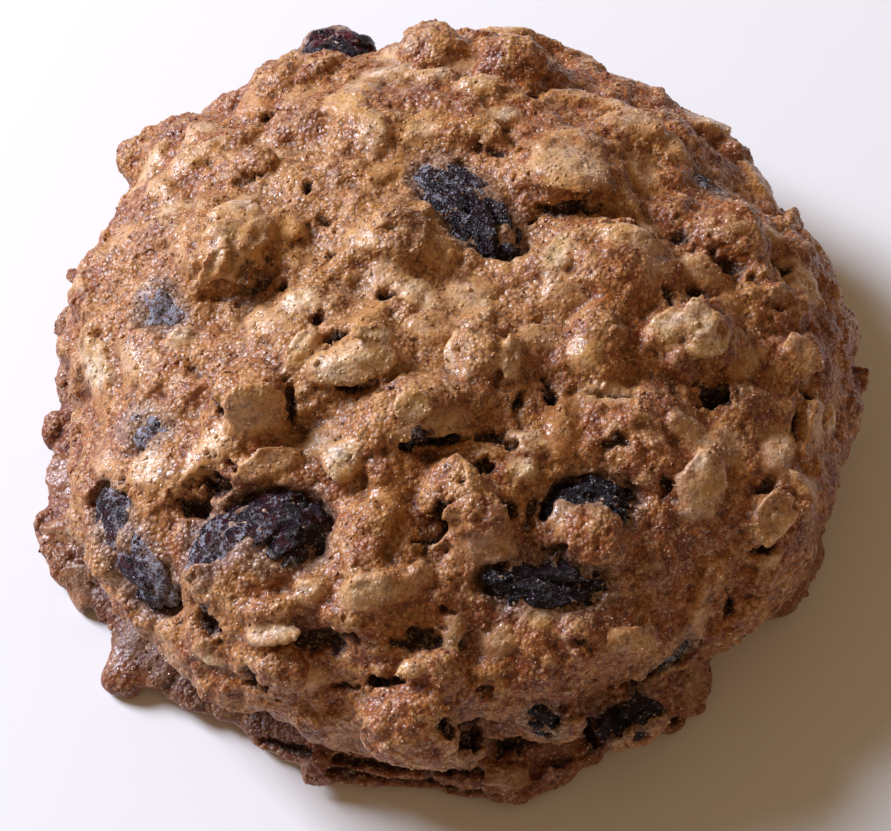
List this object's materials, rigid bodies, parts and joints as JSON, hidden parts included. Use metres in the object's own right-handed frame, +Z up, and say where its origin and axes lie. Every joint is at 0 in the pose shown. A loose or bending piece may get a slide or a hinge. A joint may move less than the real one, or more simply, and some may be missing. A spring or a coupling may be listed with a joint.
{
  "type": "oatmeal raisin cookie",
  "caption": "Thick round oatmeal biscuit with a craggy domed top, rolled oat flakes baked into it and wrinkled raisins set in pockets.",
  "frame": {"origin": "middle of the flat underside", "axes": "+Z up out of the domed top, -Y towards the side that the picture shows nearest, +X to the right"},
  "size_m": [0.0789, 0.079, 0.0285],
  "materials": {
    "dough": null,
    "raisin": null
  },
  "bodies": {
    "root": {"dough": "dough", "raisin_back_rim": "raisin", "raisin_back": "raisin", "raisin_left_high": "raisin", "raisin_left_mid": "raisin", "raisin_left_edge": "raisin", "raisin_front_left": "raisin", "raisin_arch": "raisin", "raisin_front": "raisin", "raisin_brow_mid": "raisin", "raisin_brow_right": "raisin", "raisin_right_low": "raisin", "raisin_right_back": "raisin"}
  },
  "joints": []
}
